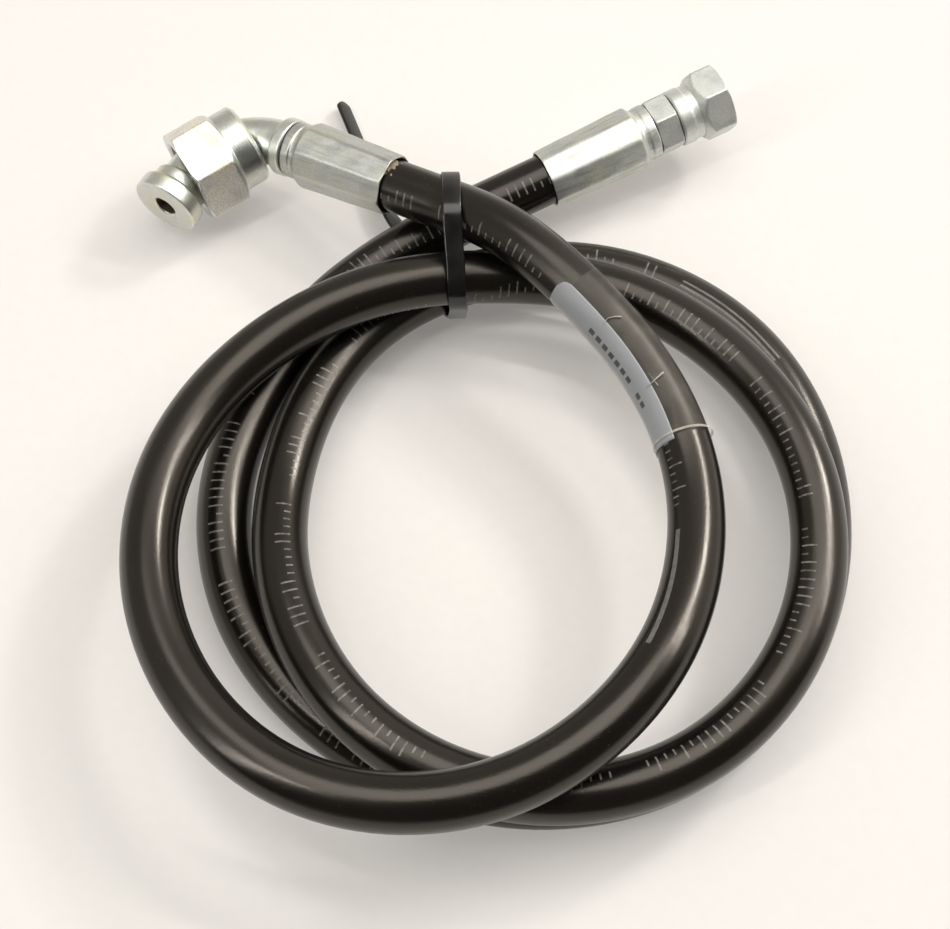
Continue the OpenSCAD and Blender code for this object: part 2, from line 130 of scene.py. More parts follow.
class Route:
    """Rings along a line: middles, and directions along, to the side and up, square to the line."""

    def __init__(self, points):
        self.points = points
        self.heading = unit(np.gradient(points, axis=0))
        self.side = unit(np.cross(self.heading, UP))
        self.up = np.cross(self.side, self.heading)
        self.along = np.concatenate(([0], np.cumsum(np.linalg.norm(np.diff(points, axis=0), axis=1))))

    def at(self, lengths):
        """The rings at given lengths along the route."""
        rings = Route.__new__(Route)
        rings.along = lengths
        for key in ("points", "heading", "side", "up"):
            columns = [np.interp(lengths, self.along, column) for column in getattr(self, key).T]
            value = np.stack(columns, -1)
            setattr(rings, key, value if key == "points" else unit(value))
        return rings

    def surface(self, radius, angles):
        """Points at a radius, one number or one for each ring and angle, and at angles in degrees."""
        out = spokes(self.side, self.up, angles)
        return self.points[:, None] + np.broadcast_to(radius, out.shape[:2])[:, :, None] * out


def hose_route():
    """The hose's middle line from cut to cut, in millimetres."""
    dir_a, dir_b = direction(HEADING_A, SLOPE_A), direction(HEADING_B, SLOPE_B)
    place_a, place_b = COIL_CENTRE + MOUTH_A, COIL_CENTRE + MOUTH_B
    coil = []
    for turn in range(len(REACH)):
        for k, (reach, height) in enumerate(zip(REACH[turn], HEIGHT[turn])):
            a = math.radians(STEP_ANGLE * k)
            coil.append(COIL_CENTRE + (reach * math.sin(a), reach * math.cos(a), height))
    lead_a, lead_b = place_a - HOSE_D * dir_a, place_b - HOSE_D * dir_b
    bend = spline(np.array([lead_a] + coil + [lead_b]), -dir_a, dir_b, ROUTE_PITCH)
    bend[:, 2] = np.maximum(bend[:, 2], HOSE_R)
    straight = np.linspace(0, 1, 12)[:-1, None]
    inside_a, inside_b = place_a + HOSE_DEPTH * dir_a, place_b + HOSE_DEPTH * dir_b
    return Route(np.concatenate((inside_a + straight * (lead_a - inside_a), bend,
                                 inside_b + straight[::-1] * (lead_b - inside_b))))


def add_surface(name, grid, wrap_rows=False, wrap_cols=False, uv=None, caps=False):
    """A mesh object from a grid of points in millimetres, smooth shaded; uv gives a place for row
    and column."""
    rows, cols = grid.shape[:2]
    i, j = np.meshgrid(np.arange(rows if wrap_rows else rows - 1),
                       np.arange(cols if wrap_cols else cols - 1), indexing="ij")
    i, j = i.ravel(), j.ravel()
    corner_rows = np.stack((i, i, i + 1, i + 1), 1)
    corner_cols = np.stack((j, j + 1, j + 1, j), 1)
    faces = ((corner_rows % rows) * cols + corner_cols % cols).tolist()
    if caps:
        faces.append(list(range(cols))[::-1])
        faces.append([(rows - 1) * cols + k for k in range(cols)])
    mesh = bpy.data.meshes.new(name)
    mesh.from_pydata((grid.reshape(-1, 3) * MM).tolist(), [], faces)
    if uv is not None:
        layer = mesh.uv_layers.new(name="along")
        flat = np.zeros((len(mesh.loops), 2), np.float32)
        flat[:corner_rows.size] = uv(corner_rows.ravel(), corner_cols.ravel())
        layer.data.foreach_set("uv", flat.ravel())
    mesh.polygons.foreach_set("use_smooth", [True] * len(mesh.polygons))
    if signed_volume(mesh) < 0:
        mesh.flip_normals()
    piece = bpy.data.objects.new(name, mesh)
    bpy.context.scene.collection.objects.link(piece)
    return piece


def signed_volume(mesh):
    """Six times the volume inside a mesh, below zero where its faces point inwards."""
    mesh.calc_loop_triangles()
    co = np.array([v.co for v in mesh.vertices])
    a, b, c = co[np.array([t.vertices for t in mesh.loop_triangles]).T]
    return float(np.einsum("ij,ij->i", a, np.cross(b, c)).sum())


def rounded(outline, radius, bends=3):
    """A closed outline with each corner rounded, at most to 0.45 of its shorter side."""
    pts = np.array(outline, float)
    out = []
    for before, here, after in zip(np.roll(pts, 1, 0), pts, np.roll(pts, -1, 0)):
        cut = min(radius, 0.45 * np.linalg.norm(before - here), 0.45 * np.linalg.norm(after - here))
        a, b = here + cut * unit(before - here), here + cut * unit(after - here)
        out += [(1 - s)**2 * a + 2 * s * (1 - s) * here + s**2 * b for s in np.linspace(0, 1, bends + 1)]
    return np.array(out)


def dense(outline, step):
    """A closed outline with points added so that none are further apart than a step."""
    out = []
    for here, after in zip(outline, np.roll(outline, -1, 0)):
        parts = max(1, math.ceil(np.linalg.norm(after - here) / step))
        out += [here + (after - here) * s / parts for s in range(parts)]
    return np.array(out)


def quarter(r, z, radius, start):
    """A quarter circle of an outline about a centre, from an angle in degrees."""
    return [(r + radius * math.cos(a), z + radius * math.sin(a))
            for a in np.radians(np.arange(start, start + 91, 10))]


def turned(name, outline, flats=None, sides=144, ripple=None, sharp=160):
    """A turned piece from a closed outline of (radius, height), with flats cut or pressed into it:
    their number, the turn of the first one in degrees, and half the size over them, for the whole
    outline or for each of its points. The flats meet in rounder edges where sharp is lower."""
    a = np.arange(sides) * 2 * math.pi / sides + math.radians(flats[1] if flats else 0)
    r, z = (np.repeat(outline[:, k:k + 1], sides, 1) for k in (0, 1))
    if flats:
        count, turn, half_size = flats
        near = np.cos(a[None] - np.radians(turn) - (np.arange(count) * 2 * math.pi / count)[:, None])
        near = (np.maximum(near, 1e-3) ** sharp).sum(0) ** (1 / sharp)
        across = np.broadcast_to(half_size, len(outline))[:, None] / near[None]
        r = (r ** -sharp + across ** -sharp) ** (-1 / sharp)
    if ripple is not None:
        r = r + ripple(r, z, np.broadcast_to(a, r.shape))
    return add_surface(name, np.stack((r * np.cos(a), r * np.sin(a), z), -1), True, True)


def hollow_tube(name, route, outer, inner, sides, uv=None):
    """A tube with a wall, closed at both ends, along a route; uv gives a place for ring and side."""
    angles = np.arange(sides) * 360.0 / sides
    rows = len(route.points)

    def folded(i, j):
        i = i % (2 * rows)
        return uv(np.minimum(i, 2 * rows - 1 - i), j)

    grid = np.concatenate((route.surface(outer, angles), route.surface(inner, angles)[::-1]))
    return add_surface(name, grid, True, True, uv=folded if uv else None)


def carry(piece, material, body="hose"):
    """Gives a piece its material in a new slot, and rides it on a body."""
    piece.data.materials.append(material)
    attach(piece, body)


def dress(piece, material, node_name, body="hose", axes=None):
    """Puts a piece in the place of a CAD node, with its slot and material, on its body."""
    if axes is not None:
        piece.matrix_world = axes
    carry(piece, material, body)
    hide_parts(node_name)


def refinish(piece, material, chosen):
    """Gives a second finish to the faces whose middle is chosen."""
    piece.data.materials.append(material)
    for face in piece.data.polygons:
        if chosen(face.center):
            face.material_index = 1


# ---------------------------------------------------------------- materials

def srgb(code):
    """Linear colour, with alpha 1, of a hex value."""
    parts = [int(code[k:k + 2], 16) / 255 for k in (1, 3, 5)]
    return tuple(c / 12.92 if c <= 0.04045 else ((c + 0.055) / 1.055) ** 2.4 for c in parts) + (1.0,)


def toned(colour, *factors):
    """A colour with its channels scaled, all by one factor or each by its own."""
    return tuple(c * f for c, f in zip(colour, factors * (3 // len(factors)))) + (1.0,)


def add_node(tree, kind, *values, stops=(), **named):
    """Adds a node. Its inputs are the values in order and those named for a socket, each a number,
    a colour, a socket to link or a node whose first output is linked. Other names are settings,
    and a colour ramp has stops of (place, colour)."""
    made = tree.nodes.new("ShaderNode" + kind)
    sockets = {socket.identifier.replace(" ", "_"): socket for socket in made.inputs}
    given = list(zip(made.inputs, values))
    for key, value in named.items():
        if key in sockets:
            given.append((sockets[key], value))
        else:
            setattr(made, key, value)
    for socket, value in given:
        if isinstance(value, (bpy.types.Node, bpy.types.NodeSocket)):
            tree.links.new(getattr(value, "outputs", (value,))[0], socket)
        else:
            socket.default_value = value
    for k, (place, colour) in enumerate(stops):
        stop = made.color_ramp.elements[k] if k < 2 else made.color_ramp.elements.new(place)
        stop.position, stop.color = place, colour
    return made


def node_adder(owner):
    """Clears the nodes of a material or world, and gives the function that adds new ones to it."""
    owner.use_nodes = True
    owner.node_tree.nodes.clear()
    return partial(add_node, owner.node_tree)


def new_material(name):
    """A material without nodes, and the function that adds them."""
    material = bpy.data.materials.new(name)
    return material, node_adder(material)


def rubber_cover(colour, print_colour):
    """Extruded and wrapped synthetic rubber: deep warm black, satin, with a faint drag along the
    hose, dust in it, and one line of plain length marks printed in grey."""
    material, add = new_material("wrapped_nitrile_cover")
    along, turns, _ = add("SeparateXYZ", add("UVMap", uv_map="along")).outputs
    around = add("Math", turns, operation="FRACT")
    solid = add("TexCoord").outputs["Object"]
    # Noises by cells per metre: clouds of 26 mm, dust of 0.7 mm, worn ink of 1.1 mm, rags of
    # 1.4 mm and grain of 0.4 mm
    cloud, dust, worn, rag, grain = (
        add("TexNoise", Vector=solid, Scale=scale, Detail=detail)
        for scale, detail in ((38, 4), (1500, 2), (900, 3), (700, 3), (2600, 2)))

    # Print: upright ticks 0.45 mm wide in steps of 2.3 mm, tall ones and short ones, with gaps
    # between groups of them
    cell = add("Math", along, 2.3 * MM, operation="DIVIDE")
    number = add("Math", cell, operation="FLOOR")
    chance = add("TexWhiteNoise", W=number, noise_dimensions="1D")
    group = add("Math", add("Math", number, 19, operation="DIVIDE"), operation="FRACT")
    height = add("Math", around, math.pi * HOSE_D, -math.pi * HOSE_R, operation="MULTIPLY_ADD")
    off_centre = add("Math", height, operation="ABSOLUTE")
    long_cell = add("Math", along, 1 / 0.81, 0.758, operation="MULTIPLY_ADD")
    long_cell = add("Math", long_cell, operation="FRACT")
    tall = add("Math", chance, 0.45, operation="GREATER_THAN")
    low = add("Math", height, -0.2, operation="LESS_THAN")
    ticks = add("Math", add("Math", cell, operation="FRACT"), 0.5, 0.1, operation="COMPARE")
    for part in (add("Math", off_centre, 1.9, operation="LESS_THAN"),
                 add("Math", tall, low, operation="MAXIMUM"),
                 add("Math", group, 0.82, operation="LESS_THAN"),
                 add("Math", long_cell, 0.5, 0.45, operation="COMPARE")):
        ticks = add("Math", ticks, part, operation="MULTIPLY")
    # A long plain stripe after every 0.81 m, and from 0.9 m on a double one
    double = add("Math", along, 0.9, operation="GREATER_THAN")
    stripe = add("Math", off_centre, add("Math", double, 0.75, operation="MULTIPLY"),
                 add("Math", double, -0.3, 0.62, operation="MULTIPLY_ADD"), operation="COMPARE")
    stripe = add("Math", stripe, add("Math", long_cell, 0.959, operation="GREATER_THAN"),
                 operation="MULTIPLY")
    worn = add("MapRange", worn, 0.35, 0.62, 0.2, 0.8)
    worn_stripe = add("Math", worn, 0.4, 0.35, operation="MULTIPLY_ADD")
    printed = add("Math", add("Math", ticks, worn, operation="MULTIPLY"),
                  add("Math", stripe, worn_stripe, operation="MULTIPLY"), operation="MAXIMUM")

    # The shell's mouth has scraped the cover down to paler rubber in one place, 2.5 mm long
    reach = add("Math", rag, 0.006, (HOSE_DEPTH - 1.8) * MM, operation="MULTIPLY_ADD")
    beside = add("Math", around, 0.68, add("Math", rag, 0.11, operation="MULTIPLY"), operation="COMPARE")
    scraped = add("Math", add("Math", along, reach, operation="LESS_THAN"), beside, operation="MULTIPLY")
    base = add("ValToRGB", cloud, stops=[(0.3, colour), (0.75, toned(colour, 1.5))])
    for share, tint in ((add("MapRange", dust, 0.68, 0.76, 0.0, 0.16), srgb("#6b655c")),
                        (printed, print_colour),
                        (add("Math", scraped, rag, operation="MULTIPLY"), srgb("#b3a48a"))):
        base = add("Mix", share, A_Color=base, B_Color=tint, data_type="RGBA").outputs[2]

    # The clear sleeve scatters what the cover reflects, so the cover is duller under it
    covered = add("Math", along, sum(SLEEVE_SPAN) / 2 * MM, (SLEEVE_SPAN[1] - SLEEVE_SPAN[0]) / 2 * MM,
                  operation="COMPARE")
    rough = add("Math", add("Math", printed, covered, operation="MAXIMUM"), 0.2,
                add("MapRange", cloud, 0.3, 0.7, 0.2, 0.27), operation="MULTIPLY_ADD")
    # Drag marks 0.9 mm apart along the hose, as fine as the picture can show
    drag_place = add("CombineXYZ", add("Math", along, 30, operation="MULTIPLY"),
                     add("Math", around, 48, operation="MULTIPLY"))
    drag = add("TexNoise", Vector=drag_place, Scale=1, Detail=3)
    bump = add("Bump", Strength=0.32, Distance=0.06 * MM, Height=add("Math", drag, grain, operation="ADD"))
    add("OutputMaterial", add("BsdfPrincipled", Base_Color=base, Roughness=rough, Normal=bump, IOR=1.53,
                              Specular_Tint=srgb("#fff6e9")))
    return material


def zinc_plate(name, colour, rough, ring_pitch, scuff=0.5, streak=0.0, warmth=1.0):
    """Bright zinc plating on steel: a cool silver with faint cloudy passivation and dull scuffs
    where tools have gripped it, with turning marks round the axis, or on pressed pieces long
    streaks where the dies have dragged."""
    material, add = new_material(name)
    solid = add("TexCoord").outputs["Object"]
    # Noises by cells per metre: clouds of 6 mm, grain of 0.4 mm, and streaks 0.9 mm wide and 12 mm
    # long
    cloud = add("TexNoise", Vector=solid, Scale=160, Detail=5)
    fine = add("TexNoise", Vector=solid, Scale=2400, Detail=3)
    drawn_out = add("VectorMath", solid, (1, 1, 0.08), operation="MULTIPLY")
    drag = add("TexNoise", Vector=drawn_out, Scale=1100, Detail=4)
    warm = toned(colour, 1.0, 1 - 0.025 * warmth, 1 - 0.14 * warmth)
    base = add("ValToRGB", cloud, stops=[(0.25, toned(colour, 0.8)), (0.45, colour), (0.68, warm)])
    speck = add("MapRange", fine, 0.35, 0.68, 0.72, 1.12)
    base = add("Mix", scuff, A_Color=base, B_Color=speck, data_type="RGBA",
               blend_type="MULTIPLY").outputs[2]
    scored = add("MapRange", drag, 0.5, 0.7, 0.0, streak)
    base = add("Mix", scored, A_Color=base, B_Color=srgb("#8a8b86"), data_type="RGBA").outputs[2]
    cloudy = add("MapRange", cloud, 0.3, 0.75, rough, rough + 0.13)
    axial = add("SeparateXYZ", solid).outputs[2]
    turning = add("Math", axial, 2 * math.pi / ring_pitch, operation="MULTIPLY")
    turning = add("Math", turning, operation="SINE")
    relief = add("Math", turning, 0.0 if streak else 0.25, operation="MULTIPLY")
    for noise, share in ((fine, scuff), (drag, streak)):
        relief = add("Math", noise, share, relief, operation="MULTIPLY_ADD")
    add("OutputMaterial", add(
        "BsdfPrincipled", Base_Color=base, Metallic=1.0,
        Roughness=add("Math", fine, 0.1 * scuff, cloudy, operation="MULTIPLY_ADD"),
        Normal=add("Bump", Strength=0.3, Distance=0.1 * MM, Height=relief)))
    return material


def braided_wire(colour):
    """High tensile steel wire braid: two sets of wires crossing at about 54 degrees, bright on top
    and dark between them."""
    material, add = new_material("brass_coated_wire_braid")
    along, turns, _ = add("SeparateXYZ", add("UVMap", uv_map="along")).outputs
    # Wires 1.6 mm apart along the hose, in 18 places round it
    along = add("Math", along, 1.6 * MM, operation="DIVIDE")
    around = add("Math", turns, 18, operation="MULTIPLY")
    weave = 0.0
    for way in ("ADD", "SUBTRACT"):
        wave = add("Math", add("Math", along, around, operation=way), math.pi, operation="MULTIPLY")
        wave = add("Math", add("Math", wave, operation="SINE"), operation="ABSOLUTE")
        weave = add("Math", wave, weave, operation="MAXIMUM")
    base = add("ValToRGB", weave, stops=[(0.2, srgb("#35302a")), (0.9, colour)])
    bump = add("Bump", Strength=0.6, Distance=0.3 * MM, Height=weave)
    add("OutputMaterial", add("BsdfPrincipled", Base_Color=base, Metallic=1.0, Roughness=0.35, Normal=bump))
    return material


def speckled(name, colour, other, rough, scale, bump_mm, ior=1.5):
    """A moulded or extruded polymer: one colour with a slight mottle, and a fine surface grain."""
    material, add = new_material(name)
    solid = add("TexCoord").outputs["Object"]
    mottle = add("TexNoise", Vector=solid, Scale=scale, Detail=4)
    grain = add("TexNoise", Vector=solid, Scale=scale * 12, Detail=2)
    add("OutputMaterial", add(
        "BsdfPrincipled", Base_Color=add("ValToRGB", mottle, stops=[(0.35, colour), (0.7, other)]),
        Roughness=add("MapRange", mottle, 0.3, 0.7, rough, rough + 0.1),
        Normal=add("Bump", Strength=0.3, Distance=bump_mm * MM, Height=grain), IOR=ior))
    return material


def label_film(colour, ink):
    """Thin printed vinyl: pale blue-grey, softly glossy under its sleeve, with painted light and shade
    round the hose: paler along its lower wrapped edge and greyer towards the top. It has one row of
    plain dashes."""
    material, add = new_material("printed_vinyl_film")
    along, across, _ = add("SeparateXYZ", add("UVMap", uv_map="along")).outputs
    # Clouds of 11 mm
    cloud = add("TexNoise", Vector=add("TexCoord").outputs["Object"], Scale=90, Detail=3)
    # Painted light and shade: the colour runs round the hose from pale at the lower edge to grey at the
    # top, broken up by the clouds
    shade = add("Math", cloud, 0.3, -0.15, operation="MULTIPLY_ADD")
    base = add("ValToRGB", add("Math", across, shade, operation="ADD"),
               stops=[(0.05, srgb("#d9d8d2")), (0.35, colour), (0.95, srgb("#94979b"))])
    # Dashes of 2 mm in steps of 2.7 mm, some left out, 0.9 mm thick, in the middle third
    cell = add("Math", along, 2.7 * MM, operation="DIVIDE")
    chance = add("TexWhiteNoise", W=add("Math", cell, operation="FLOOR"), noise_dimensions="1D")
    inked = 0.85
    for part in (add("Math", add("Math", cell, operation="FRACT"), 0.66, operation="LESS_THAN"),
                 add("Math", chance, 0.12, operation="GREATER_THAN"),
                 add("Math", across, 0.55, 0.07, operation="COMPARE"),
                 add("Math", along, 26 * MM, 13.5 * MM, operation="COMPARE")):
        inked = add("Math", part, inked, operation="MULTIPLY")
    base = add("Mix", inked, A_Color=base, B_Color=ink, data_type="RGBA").outputs[2]
    add("OutputMaterial", add("BsdfPrincipled", Base_Color=base,
                              Roughness=add("MapRange", cloud, 0.3, 0.7, 0.4, 0.55)))
    return material


def shrink_film(colour):
    """Clear polyolefin shrink sleeve: it tints what it covers only a little, catches the light
    on its wrinkles, and shows milky where it is seen edge on and at its cut end."""
    material, add = new_material("clear_polyolefin_sleeve")
    along, end, _ = add("SeparateXYZ", add("UVMap", uv_map="along")).outputs
    # Haze in clouds of 4 mm
    haze = add("TexNoise", Vector=add("TexCoord").outputs["Object"], Scale=260, Detail=4)
    edge = add("LayerWeight", Blend=0.18).outputs["Facing"]
    milky = add("Math", add("MapRange", edge, 0.55, 1.0, 0.0, 0.1),
                add("MapRange", haze, 0.35, 0.8, 0.0, 0.03), operation="ADD")
    cut_end = add("Math", add("Math", along, end, operation="GREATER_THAN"), 0.3, operation="MULTIPLY")
    alpha = add("Math", milky, cut_end, operation="MAXIMUM", use_clamp=True)
    base = add("ValToRGB", haze, stops=[(0.3, colour), (0.8, srgb("#f4f0e2"))])
    rough = add("MapRange", haze, 0.3, 0.7, 0.42, 0.55)
    add("OutputMaterial", add("BsdfPrincipled", Base_Color=base, Roughness=rough, Alpha=alpha, IOR=1.25))
    return material


# ---------------------------------------------------------------- settings

def size_setting(name, description, default):
    """A property for a size, with its default in millimetres."""
    return bpy.props.FloatProperty(name=name, description=description, default=default * MM, unit="LENGTH")


def colour_setting(name, description, default):
    """A property for a colour, with its default as a hex value."""
    return bpy.props.FloatVectorProperty(name=name, description=description, subtype="COLOR", size=4,
                                         default=srgb(default), min=0, max=1)


class HoseSettings(bpy.types.PropertyGroup):
    cover_od: size_setting("Cover diameter", "Outside diameter of the rubber cover", HOSE_D)
    braid_od: size_setting("Braid diameter", "Outside diameter of the wire braid", 10.2)
    liner_od: size_setting("Inner tube diameter", "Outside diameter of the inner tube", 8.8)
    bore: size_setting("Bore", "Diameter of the hose's bore", 6.3)
    rubber: colour_setting("Rubber", "Colour of the cover", "#0c0a08")
    marks: colour_setting("Marks", "Colour of the printed length marks", "#7d7c7a")
    wire: colour_setting("Wire", "Colour of the braid", "#b9ab8c")


class FittingSettings(bpy.types.PropertyGroup):
    crimp_front: size_setting("Crimp at front", "Size over the crimped flats at the front", 17.0)
    crimp_rear: size_setting("Crimp at hose", "Size over the crimped flats at the hose end", 15.4)
    tube_od: size_setting("Bent tube", "Outside diameter of the bent tube", 12.7)
    nut_a_size: size_setting("Nut A over flats", "Size over the flats of the nut on end A", 23.8)
    nut_b_size: size_setting("Nut B over flats", "Size over the flats of the nut on end B", 17.5)
    zinc: colour_setting("Zinc", "Colour of the plated steel", "#dcdfdc")


class TieSettings(bpy.types.PropertyGroup):
    width: size_setting("Band width", "Width of the cable tie", 4.8)
    thickness: size_setting("Band thickness", "Thickness of the cable tie", 1.1)
    nylon: colour_setting("Nylon", "Colour of the cable tie", "#0c0b0a")


class MarkerSettings(bpy.types.PropertyGroup):
    film: colour_setting("Film", "Colour of the marker's film", "#9b9ea1")
    ink: colour_setting("Ink", "Colour of the dashes on the film", "#22201e")
    sleeve: colour_setting("Sleeve", "Colour of the clear sleeve", "#c3c0b2")


class StageSettings(bpy.types.PropertyGroup):
    floor: colour_setting("Floor", "Colour of the table", "#f9f5f0")
    camera_distance: size_setting("Camera distance", "Distance from the camera to the table's middle", 468)
    camera_elevation: bpy.props.FloatProperty(
        name="Camera elevation", description="Angle of the view above the table",
        default=math.radians(65), subtype="ANGLE")


# ---------------------------------------------------------------- hose

# Where the printed line runs round the hose: millimetres along it, and degrees round it from the
# side towards the coil's middle, with 90 on top
PRINT_LINE = ((0, 34), (47, 36), (100, 42), (135, 49), (156, 50), (163, 45), (196, 58), (215, 56),
              (240, 0), (277, -60), (428, -60), (479, -10), (505, 60), (530, 74), (554, 74),
              (582, 64), (610, 58), (635, 68), (661, 80), (689, 80), (749, 98), (774, 86), (805, 80),
              (842, 76), (900, 88), (947, 96), (975, 89), (1001, 90), (1060, 115), (1173, 130),
              (1254, 102), (1357, 99), (1378, 66), (1442, 60))


class HoseBuilder(bpy.types.Operator):
    """Cover, braid and inner tube of the hose, coiled three times"""
    bl_idname = "hose.build_hose"
    bl_label = "Hose"

    def execute(self, context):
        s = context.scene.hose_settings
        route = hose_route()
        print_at = np.interp(route.along, *np.array(PRINT_LINE, float).T)

        def layer(name, outer, inner, sides, marked=True):
            """A tube whose uv is the length along it and the turns round it, with the print in the
            middle of a turn."""
            def uv(ring, j):
                return np.stack((route.along[ring] * MM, j / sides - print_at[ring] / 360 + 20.5), 1)
            return hollow_tube(name, route, outer / MM / 2, inner / MM / 2, sides, uv if marked else None)

        cover = layer("hose_cover_rubber", s.cover_od, s.braid_od, 40)
        dress(cover, rubber_cover(tuple(s.rubber), tuple(s.marks)), "hose_cover")
        [tuple(p * MM) for p in route.points]
        braid = layer("wire_braid_layer", s.braid_od, s.liner_od, 24)
        dress(braid, braided_wire(tuple(s.wire)), "wire_braid")
        liner = layer("inner_tube_layer", s.liner_od, s.bore, 20, marked=False)
        dress(liner, speckled("oil_resistant_liner", srgb("#171615"), srgb("#201f1d"), 0.5, 200, 0.05),
              "inner_tube")
        return {"FINISHED"}


# ---------------------------------------------------------------- fittings

# Sizes in millimetres: radii, and heights along each fitting's axis from the shell's mouth
SHELL_LEN = 32.0
CRIMP_END = 26.5
GROOVE_START, GROOVE_END = 28.0, 29.2
RING_R = 7.6
NECK_R = 5.2
TAIL_START, BARB_PITCH, BARBS = 4.0, 3.4, 6
TAIL_ROOT_R, BARB_R, TAIL_BORE_R = 2.9, 3.3, 2.0
# End A: the nipple's collar, then the bend
COLLAR_START = SHELL_LEN + 0.3
BEND_START = COLLAR_START + 4.0
COLLAR_END = BEND_START - 0.4
COLLAR_R = 7.9
ELBOW_R = 18.5
ELBOW_BORE_R = 4.0
CORNER_Z = BEND_START + ELBOW_R
SOCKET = 2.0
# Lengths along the bent end's axis, from the corner of the bend: the sealing sleeve
FACE_AT = 30.9
FLANGE_AT = FACE_AT - 5.0
SLEEVE_START = FLANGE_AT - 4.0
SLEEVE_R, FLANGE_R, FACE_BORE_R = 7.6, 9.3, 3.0
TUBE_END = SLEEVE_START + SOCKET
# Nut A, with heights back from its front face, and where it sits and leans on the bend
NUT_A_LEN, NUT_A_HEX_LEN, NUT_A_COLLAR_R = 19.5, 12.3, 11.1
NUT_A_HOLE_R, NUT_A_RELIEF_R, NUT_A_THREAD_R = 8.7, 10.1, 9.55
NUT_A_AT = Vector((0, 20, CORNER_Z - 0.1))
NUT_A_TURN, NUT_A_LEAN = 37, -62.5
# End B: the stem's hexagon and nose, and nut B
STEM_HEX_START, STEM_HEX_END = SHELL_LEN + 0.2, SHELL_LEN + 6.4
STEM_HEX_R = 7.15
STEM_BORE_R, WAIST_R, NOSE_R = 2.5, 5.0, 6.4
NUT_B_START, NUT_B_END = STEM_HEX_END + 0.4, STEM_HEX_END + 15.2
NUT_B_HEX_START = NUT_B_END - 7.2
NOSE_START, NOSE_END = NUT_B_START + 4.35, NUT_B_START + 7.95
SEAT_ANGLE = 37
NUT_B_NECK_R, NUT_B_HOLE_R, NUT_B_RELIEF_R, NUT_B_THREAD_R = 7.8, 5.15, 6.9, 6.65
END_B_TURN = 52.5
HEX_CORNER = 1 / math.cos(math.pi / 6)


def barbed_tail():
    """Outline of the tail inside the hose, from its tip towards the fitting."""
    points = [(TAIL_BORE_R, TAIL_START)]
    for k in range(BARBS):
        z = TAIL_START + k * BARB_PITCH
        points += [(TAIL_ROOT_R, z), (BARB_R, z + BARB_PITCH - 0.4)]
    return points + [(TAIL_ROOT_R, TAIL_START + BARBS * BARB_PITCH), (TAIL_ROOT_R, HOSE_DEPTH + 0.2),
                     (NECK_R, HOSE_DEPTH + 0.2)]


def thread_ridges(start, pitch, count, r, depth, steps):
    """Outline of a nut's thread as rings, from its open end inwards: steps are where each ridge
    starts and ends, and where its groove does."""
    outline = []
    for k in range(count):
        outline += [(r + rise, start + k * pitch + step) for rise, step in zip((0, 0, depth, depth), steps)]
    return outline[::-1]


def crimped_shell(name, settings, turn, seed, sharp):
    """A shell with a bell mouth, pressed to flats that taper towards the hose."""
    front, rear = settings.crimp_front / MM / 2, settings.crimp_rear / MM / 2
    corner = 1 / math.cos(math.pi / 8)
    outline = dense(rounded([
        (HOSE_R + 0.55, 0), (rear * corner - 0.15, 0), (front * corner - 0.15, CRIMP_END),
        (RING_R - 0.25, GROOVE_START), (RING_R - 0.25, GROOVE_END), (RING_R, GROOVE_END + 0.4),
        (RING_R, SHELL_LEN - 0.3), (RING_R - 0.3, SHELL_LEN), (NECK_R + 0.1, SHELL_LEN),
        (NECK_R + 0.1, 27.4), (HOSE_R + 0.02, 27.4), (HOSE_R + 0.02, 2.5)], 0.35), 0.5)
    waves = np.random.default_rng(seed).uniform(0, 2 * math.pi, 3)

    def ripple(r, z, a):
        """Shallow waves on the pressed flats."""
        pressed = np.clip((r - 7.2) / 0.3, 0, 1) * np.clip(27.0 - z, 0, 1)
        return 0.026 * pressed * (np.sin(z * 0.45 + waves[0] + 3 * np.sin(a + waves[1]))
                                  + 0.6 * np.sin(5 * a + z * 0.9 + waves[2]))

    half_size = rear + (front - rear) * np.clip(outline[:, 1], 0, GROOVE_START) / CRIMP_END
    return turned(name, outline, (8, turn, half_size), 176, ripple, sharp)


class ShellBuilder(bpy.types.Operator):
    """The two crimped shells"""
    bl_idname = "hose.build_shells"
    bl_label = "Crimped shells"

    def execute(self, context):
        s = context.scene.fitting_settings
        # Both shells are the same plated steel; shell A's zinc colour is scaled darker than shell B's:
        # painted shade
        for end, axes, turn, seed, sharp, painted_shade_tone, rough in (
                ("a", AXES_A, 34, 3, 120, 0.8, 0.34), ("b", AXES_B, 16.5, 8, 42, 0.96, 0.44)):
            name = "crimped_shell_" + end
            zinc = zinc_plate("zinc_plated_" + name, toned(s.zinc, painted_shade_tone), rough, 1.1 * MM, 0.45, 0.4)
            dress(crimped_shell(name, s, turn, seed, sharp), zinc, "shell_" + end, axes=axes)
        return {"FINISHED"}


